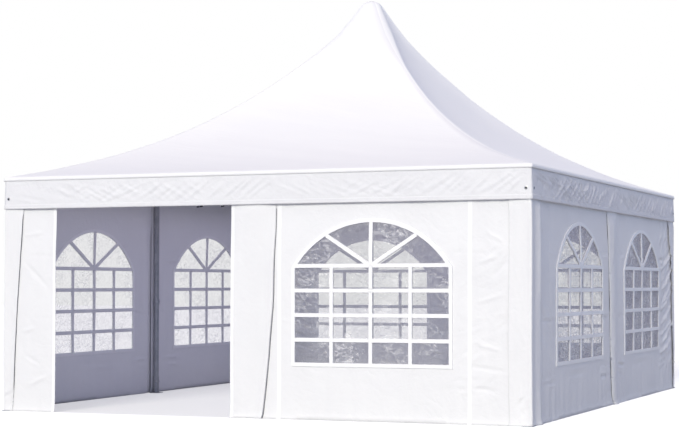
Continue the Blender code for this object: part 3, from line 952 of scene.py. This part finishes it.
def corner_wraps():
    ends = (WALL_FOOT_Z, WALL_TOP_Z)
    plain = WrapLeg(ends, (0.20, 0.20))
    ridged = WrapLeg(ends, (0.265, 0.25), ridge=0.019, ridge_at=0.19, stand=0.001, fall=0.09)
    heights = (0.0, 0.232, 0.947, 1.618, 1.85)
    slanted = WrapLeg(heights, (0.10, 0.113, 0.145, 0.187, 0.198), ridge=0.0, stand=0.012)
    narrow = WrapLeg((0.1, 0.95, 1.69), (0.075, 0.147, 0.225), ridge=0.0, stand=0.016)
    # Painted shadow under the slanted free edge of the corner strip, as a dark strip
    tape = [(slanted.reach(z) - HALF + 0.002, z) for z in (WALL_FOOT_Z + 0.01, *heights[1:4], 1.79)]
    shade_tape("shade_tape_corner", "front", tape, lift=0.0006)
    corner_wrap("corner_wrap_front_right", "front", plain, ridged, "corner_flap_front_right")
    corner_wrap("corner_wrap_back_left", "right", narrow, plain, "corner_flap_back_left")
    corner_wrap("corner_wrap_back_right", "back", plain, ridged, "corner_flap_back_right")
    corner_wrap("corner_wrap_front_left", "left", plain, slanted, "corner_flap_front_left")


# Doorway

FLAP_HEIGHTS = (0.0, 0.14, 0.535, 0.956, 1.54, 2.09)
FLAP_EDGE = (0.105, 0.12, 0.167, 0.197, 0.22, 0.22)
DOOR_HEM = 0.03


def hung_front(name, outline, lift, replaced, hem_u=None):
    """A plain panel on the front, lifted off the wall's plane, with a hem along one upright edge if it has one."""
    def surface(u, z):
        return wall_depth("front", u, z) + lift(u, z)

    piece = panel(name, "front", [outline], surface, replaces=[replaced])
    if hem_u is not None:
        path = [(hem_u, WALL_FOOT_Z + 0.003), (hem_u, WALL_TOP_Z - 0.003)]
        ribbon(f"{name}_hem", "front", [path], strip_profile(DOOR_HEM, 0.0014), surface)


def flap_edge(z):
    return np.interp(z, FLAP_HEIGHTS, FLAP_EDGE)


def flap_lift(u, z):
    """How far the panel to the right of the doorway stands off the wall, most where its free edge is open."""
    away = flap_edge(z) - u
    open_low = 0.3 + 0.7 * ease(1.75 - z, 0.0, 0.9)
    stand = 0.004 + 0.012 * open_low * (1 - ease(away, 0.0, 0.08))
    curl = 0.010 * bell(z, 0.0, 0.05) * (1 - ease(away, 0.0, 0.05))
    wave = 0.0012 * np.sin(11 * z) * (1 - ease(away, 0.0, 0.2))
    return (stand + curl + wave) * (0.1 + 0.9 * ease(1.84 - z, 0.0, 0.1))


def door_cloth():
    left, hem_in = -PANEL_REACH, DOOR_HEM / 2 + 0.002
    outline = wall_outline(left, DOOR_LEFT)
    hung_front("door_side_cloth_left", outline, lambda u, z: 0.0005, "door_panel_left", DOOR_LEFT - hem_in)

    heights = np.linspace(WALL_FOOT_Z, WALL_TOP_Z, 34)
    edge = [(flap_edge(z) + 0.003 * math.sin(8 * z), z) for z in heights]
    # Painted shadow under the door flap's free edge, as a dark strip
    shade_tape("shade_tape_door", "front", [(u + 0.002, z) for u, z in edge if z < VALANCE_FOOT_Z])
    outline = [(DOOR_RIGHT, WALL_FOOT_Z), *edge, (DOOR_RIGHT, WALL_TOP_Z)]
    hung_front("door_side_cloth_right", outline, flap_lift, "door_panel_right", DOOR_RIGHT + hem_in)

    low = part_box("door_top_band")[0].z
    near, far = DOOR_LEFT - 0.02, DOOR_RIGHT + 0.02
    hung_front("door_band_cloth", wall_outline(near, far, low), lambda u, z: 0.003, "door_top_band")


ROLL_R = (ROLL_HIGH.z - ROLL_LOW.z) / 2
ROLL_Y, ROLL_Z = (ROLL_LOW.y + ROLL_HIGH.y) / 2, (ROLL_LOW.z + ROLL_HIGH.z) / 2
ROLL_PITCH = 0.005
ROLL_START_R = 0.006
ROLL_COLUMNS = 60


def door_roll():
    """The door's cloth rolled up on itself, a spiral whose turns lie a few millimetres apart."""
    turns = (ROLL_R - 0.002 - ROLL_START_R) / ROLL_PITCH
    share = np.linspace(0, 1, int(turns * 26) + 1)
    angles = math.tau * turns * share + math.radians(200)
    radii = ROLL_START_R + ROLL_PITCH * turns * share
    run = run_along(np.column_stack([radii * np.cos(angles), radii * np.sin(angles)]))
    x = np.linspace(ROLL_LOW.x, ROLL_HIGH.x, ROLL_COLUMNS)
    sag = 0.004 * np.sin(np.linspace(0, math.pi, ROLL_COLUMNS))
    points, flats = [], []
    for part, angle, radius, length in zip(share, angles, radii, run):
        reach = radius * (1 + 0.03 * np.sin(3 * angle + x * 7) * part)
        y, z = ROLL_Y + reach * math.cos(angle), ROLL_Z + reach * math.sin(angle) * 0.97 - sag
        points.append(np.column_stack([x, y, z]))
        flats.append(np.column_stack([x, np.full(ROLL_COLUMNS, length)]))
    faces = grid_faces(ROLL_COLUMNS, len(run))
    roll = make_piece("door_roll_cloth", points, faces, WALL_CLOTH, flats, replaces=["door_roll"])


# Fittings

def lathe(centre, axis, profile, segments, ring=False):
    """Points and faces of a solid turned about an axis, from (radius, distance along the axis) points.

    A ring's profile closes on itself. Any other solid has flat ends.
    """
    axis = Vector(axis).normalized()
    first = axis.orthogonal().normalized()
    second = axis.cross(first)
    points = []
    for radius, along in profile:
        for step in range(segments):
            angle = math.tau * step / segments
            out = first * math.cos(angle) + second * math.sin(angle)
            points.append(tuple(Vector(centre) + axis * along + out * radius))
    faces = grid_faces(segments, len(profile), closed=True, looped=ring)
    if not ring:
        faces.append(tuple(reversed(range(segments))))
        faces.append(tuple(range(len(points) - segments, len(points))))
    return points, faces


def joined(name, parts, material):
    """One piece made of several small solids."""
    points, faces = [], []
    for part_points, part_faces in parts:
        first = len(points)
        points += part_points
        faces += [tuple(first + index for index in face) for face in part_faces]
    make_piece(name, points, faces, material, slot="steel", crisp=True)


TIE_PLACES = (-1.62, -1.08, -0.537, -0.314, -0.256)
HANGING_TIES = TIE_PLACES[2:]
TIE_HALF_WIDTH = 0.0125
TIE_RADII = (ROLL_R + 0.0035, ROLL_R + 0.0015)
TOGGLE_DROP_Z = VALANCE_FOOT_Z - 0.006
TOGGLE_SIZES = (1.0, 0.5)
TOGGLE_BAR = (
    (0.003, -0.027), (0.0065, -0.024), (0.0065, -0.006), (0.0045, 0.0), (0.0065, 0.006), (0.0065, 0.024),
    (0.003, 0.027),
)


def door_ties():
    """Webbing ties round the rolled door. Three hang down behind the valance, two of them to a toggle."""
    outer, inner = TIE_RADII
    strap = [(outer, -TIE_HALF_WIDTH), (outer, TIE_HALF_WIDTH), (inner, TIE_HALF_WIDTH), (inner, -TIE_HALF_WIDTH)]
    straps = [lathe((place, ROLL_Y, ROLL_Z), (1, 0, 0), strap, 28, ring=True) for place in TIE_PLACES]
    bottom = ROLL_Z - ROLL_R - 0.002
    tail = [(0.004, 0.0), (0.0045, bottom - TOGGLE_DROP_Z)]
    straps += [lathe((place, ROLL_Y, bottom), (0, 0, -1), tail, 8) for place in HANGING_TIES]
    joined("door_tie_straps", straps, WHITE_WEBBING)
    toggles = []
    for place, size in zip(HANGING_TIES, TOGGLE_SIZES):
        bar = [(radius, along * size) for radius, along in TOGGLE_BAR]
        toggles.append(lathe((place, ROLL_Y, TOGGLE_DROP_Z), (1, 0.25, 0.12), bar, 12))
    joined("door_tie_toggles", toggles, DARK_RUBBER_AND_SHADE)


LOOP_HEIGHTS = (0.70, 1.19)
LOOP_U = 2.362
LOOP_BAR = ((0.003, -0.022), (0.007, -0.018), (0.006, 0.0), (0.007, 0.018), (0.003, 0.022))


def wall_loops():
    """White webbing loops that hold the wrapped end of each side wall and of the back."""
    def surface(side, u, z):
        return wall_depth(side, u, z) + 0.012

    spots = [world_spot(side, LOOP_U, height, surface) for side in ("right", "back", "left") for height in LOOP_HEIGHTS]
    joined("wall_loops", [lathe(spot, (0.1, 0.1, 1), LOOP_BAR, 10) for spot in spots], WHITE_WEBBING)


EYELET_U = HALF - 0.055
EYELET_Z = 1.895
EYELET_DISH = ((0.015, -0.0008), (0.0155, 0.0004), (0.0125, 0.0018), (0.0092, 0.0014), (0.0085, -0.0006))
# A dark disc in each eyelet's hole: painted shade
EYELET_HOLE_SHADE = ((0.009, 0.0), (0.009, 0.0012))


def eyelets():
    """A pressed eyelet on each side of each corner of the valance, with a dark disc in its hole that paints the shade
    seen through it.
    """
    def surface(side, u, z):
        return SKIRT_DEPTH + skirt_relief(side, u, z)

    rings, holes = [], []
    for side in TURNS:
        outward = to_world(side, np.zeros(1), np.ones(1), np.zeros(1))[0]
        for u in (-EYELET_U, EYELET_U):
            centre = world_spot(side, u, EYELET_Z, surface)
            rings.append(lathe(centre, outward, EYELET_DISH, 20))
            holes.append(lathe(centre, outward, EYELET_HOLE_SHADE, 16))
    joined("valance_eyelets", rings, BRIGHT_STEEL)
    # Painted shade: dark discs fill the eyelets' holes
    joined("valance_eyelet_hole_shades", holes, DARK_RUBBER_AND_SHADE)


BOLT_HEIGHTS = (0.12, 0.95)
COLLAR_R = 0.0275
WASHER_T = 0.0025
WASHER = ((0.010, 0.0), (0.010, WASHER_T))
BOLT_HEAD = ((0.0075, 0.0), (0.0075, 0.004), (0.0062, 0.0052))


def post_bolts():
    """Hexagon bolts through the foot collar and the joint collar of each post, on its inner faces."""
    bolts = []
    for name in NODES:
        if not name.startswith("post_"):
            continue
        low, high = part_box(name)
        centre = (low + high) / 2
        inward = math.atan2(-centre.y, -centre.x)
        for height in BOLT_HEIGHTS:
            for angle in (inward - 0.9, inward + 0.9):
                out = Vector((math.cos(angle), math.sin(angle), 0))
                place = Vector((centre.x, centre.y, height)) + out * COLLAR_R
                bolts.append(lathe(place, out, WASHER, 18))
                bolts.append(lathe(place + out * WASHER_T, out, BOLT_HEAD, 6))
    joined("post_bolts", bolts, BRIGHT_STEEL)


def dress_frame():
    for name, node in NODES.items():
        if name.startswith(("post_", "eave_tube_", "hip_rafter_")) or name in ("rafter_hub", "king_pole"):
            node.data.materials.clear()
            node.data.materials.append(STEEL)


# Studio

IMAGE_WIDTH, IMAGE_HEIGHT = 679, 427
VIEW_CENTRE_PX = (495, 245)
FOCAL_PX = 1577.57
CAMERA_YAW = math.radians(19.4512)
CAMERA_PITCH = math.radians(1.4388)
CAMERA_ROLL = math.radians(-0.0490)
CAMERA_PLACE = (6.3814, -14.3819, 1.1253)
SENSOR = 36.0

HORIZON_LIGHT = (0.31, 0.46, 0.715)
ZENITH_LIGHT = (0.74, 0.65, 0.72)
KEY_COLOUR = (1.0, 0.958, 0.828)
KEY_ELEVATION = math.radians(24)
KEY_STRENGTH = 2.33
KEY_SPREAD = math.radians(24)
FILL_COLOUR = (0.72, 0.69, 1.0)
FILL_SIZE = 4.4

# Power, height and tilt of each fill: the low one shines up, the high one down
FILLS = {"low": (3.5, 0.03, math.pi), "high": (26.0, 1.95, 0.0)}
FLOOR_HALF = 60.0
FLOOR_TONE = 0.5
# Camera-only floor glow, painted light: lower inside the tent as painted shade, highest beside the walls to paint out
# their contact shade
FLOOR_GLOW = 0.46
NEAR_GLOW = 0.76
FAR_GLOW = 0.59


def in_scene(name, data):
    """A new object of the scene that shows this light or camera."""
    made = bpy.data.objects.new(name, data)
    bpy.context.scene.collection.objects.link(made)
    return made


def add_light(name, kind, colour, energy):
    light = bpy.data.lights.new(name, kind)
    light.color = colour
    light.energy = energy
    return in_scene(name, light)


def studio_camera():
    data = bpy.data.cameras.new("camera")
    data.sensor_width = SENSOR
    data.lens = FOCAL_PX / IMAGE_WIDTH * SENSOR
    data.shift_x = (IMAGE_WIDTH / 2 - VIEW_CENTRE_PX[0]) / IMAGE_WIDTH
    data.shift_y = (VIEW_CENTRE_PX[1] - IMAGE_HEIGHT / 2) / IMAGE_WIDTH
    camera = in_scene("camera", data)
    turn = Matrix.Rotation(CAMERA_YAW, 4, "Z") @ Matrix.Rotation(math.pi / 2 + CAMERA_PITCH, 4, "X")
    camera.matrix_world = Matrix.Translation(CAMERA_PLACE) @ turn @ Matrix.Rotation(CAMERA_ROLL, 4, "Z")
    bpy.context.scene.camera = camera


def studio_lights():
    """A soft key from the front, a room that is brighter overhead, and two soft fills inside the tent."""
    world = bpy.data.worlds.new("studio")
    bpy.context.scene.world = world
    nodes = Nodes(world)
    nodes.tree.nodes.clear()
    up = nodes.add("SeparateXYZ", {0: nodes.place("Generated")}, "Z")
    sky = nodes.blended(nodes.ranged(up, 0.0, 1.0), HORIZON_LIGHT, ZENITH_LIGHT)
    soft = nodes.add("Background", {"Color": sky, "Strength": 1.0})
    white = nodes.add("Background", {"Color": (1, 1, 1, 1), "Strength": 1.0})
    seen = nodes.add("LightPath", output="Is Camera Ray")
    both = nodes.add("MixShader", {0: seen, 1: soft, 2: white})
    nodes.fill(nodes.tree.nodes.new("ShaderNodeOutputWorld"), {"Surface": both})

    key = add_light("key", "SUN", KEY_COLOUR, KEY_STRENGTH)
    key.data.angle = KEY_SPREAD
    towards = Vector((0, -math.cos(KEY_ELEVATION), math.sin(KEY_ELEVATION)))
    key.rotation_euler = towards.to_track_quat("Z", "Y").to_euler()

    for name, (power, height, tilt) in FILLS.items():
        fill = add_light(f"fill_{name}", "AREA", FILL_COLOUR, power)
        fill.data.shape = "SQUARE"
        fill.data.size = FILL_SIZE
        fill.location = (0, 0, height)
        fill.rotation_euler = (tilt, 0, 0)
        fill.visible_camera = False
        fill.visible_glossy = False


def studio_floor():
    """A matt floor that glows for the camera alone, less inside the tent than round it. The glow is painted light: its
    lower level inside the tent paints shade there, and its higher level just round the walls paints out the tent's
    contact shade.
    """
    nodes = Nodes(bpy.data.materials.new("studio_floor"))
    tone = (FLOOR_TONE, FLOOR_TONE, FLOOR_TONE, 1)
    nodes.fill(nodes.shader, {"Base Color": tone, "Roughness": 1.0, "Specular IOR Level": 0.0})
    out = nodes.greater(*(nodes.size(axis) for axis in nodes.plan()))
    far = nodes.ranged(out, WALL_DEPTH + 0.1, 2 * WALL_DEPTH, NEAR_GLOW, FAR_GLOW)
    outdoors = nodes.ranged(out, WALL_DEPTH - 0.005, WALL_DEPTH + 0.02)
    # Painted shade inside the tent, painted light beside the walls
    level = nodes.plus(nodes.times(outdoors, far), nodes.times(nodes.minus(1.0, outdoors), FLOOR_GLOW))
    seen = nodes.add("LightPath", output="Is Camera Ray")
    glow = nodes.add("Emission", {"Strength": nodes.times(seen, level)})
    nodes.finish(nodes.add("AddShader", {0: nodes.shader.outputs[0], 1: glow}))
    corners = [(x * FLOOR_HALF, y * FLOOR_HALF, 0) for x, y in ((-1, -1), (1, -1), (1, 1), (-1, 1))]
    make_piece("studio_floor", corners, [(0, 1, 2, 3)], nodes.owner, slot=None)


studio_camera()
studio_lights()
studio_floor()
bpy.context.scene.view_settings.view_transform = "Standard"
bpy.context.scene.view_settings.look = "None"
dress_frame()
roof_cover()
valance()
windowed_walls()
corner_wraps()
door_cloth()
door_roll()
door_ties()
wall_loops()
eyelets()
post_bolts()
